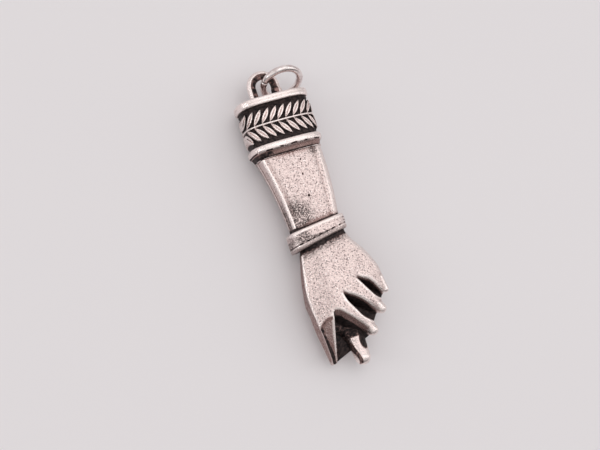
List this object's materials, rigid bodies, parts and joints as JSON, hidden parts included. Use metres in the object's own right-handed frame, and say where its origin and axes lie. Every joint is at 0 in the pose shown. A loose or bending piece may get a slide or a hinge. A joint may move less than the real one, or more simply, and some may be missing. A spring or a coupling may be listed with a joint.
{
  "type": "figa pendant",
  "caption": "Cast pewter charm: a left arm and fist with the thumb between index and middle finger, under an ornamented collar cap with a loop and split ring.",
  "frame": {"origin": "middle of the bounding box in X and Y, on the surface that the pendant's back lies on", "axes": "+Y along the arm from the fingers to the ring, +Z out of the front, which shows the back of the hand, +X to the right seen from the front with the ring up"},
  "size_m": [0.015, 0.0496, 0.0078],
  "materials": {
    "cast_pewter": "antique silver pewter casting, pitted and worn bright, dark patina in the hollows",
    "cap_pewter": "antique silver pewter casting, polished rims and relief over black recesses",
    "cuff_pewter": "antique silver pewter casting, worn bright, dark patina along its edges",
    "loop_pewter": "antique silver pewter, rough, dark patina inside the loop",
    "solder": "rough dull solder bead",
    "silver_wire": "bright silver-plated drawn wire, smooth"
  },
  "bodies": {
    "charm": {"arm_and_hand": "cast_pewter", "collar_cap": "cap_pewter", "solder_seam": "solder", "wrist_cuff": "cuff_pewter", "eye_loop": "loop_pewter"},
    "ring": {"jump_ring": "silver_wire"}
  },
  "joints": [
    {"name": "ring_swing", "type": "hinge", "parent": "charm", "child": "ring", "pos_m": [-0.00182, 0.02209, 0.00385], "axis": [0, 0.4617, 0.887], "range_deg": [0, 180]}
  ]
}
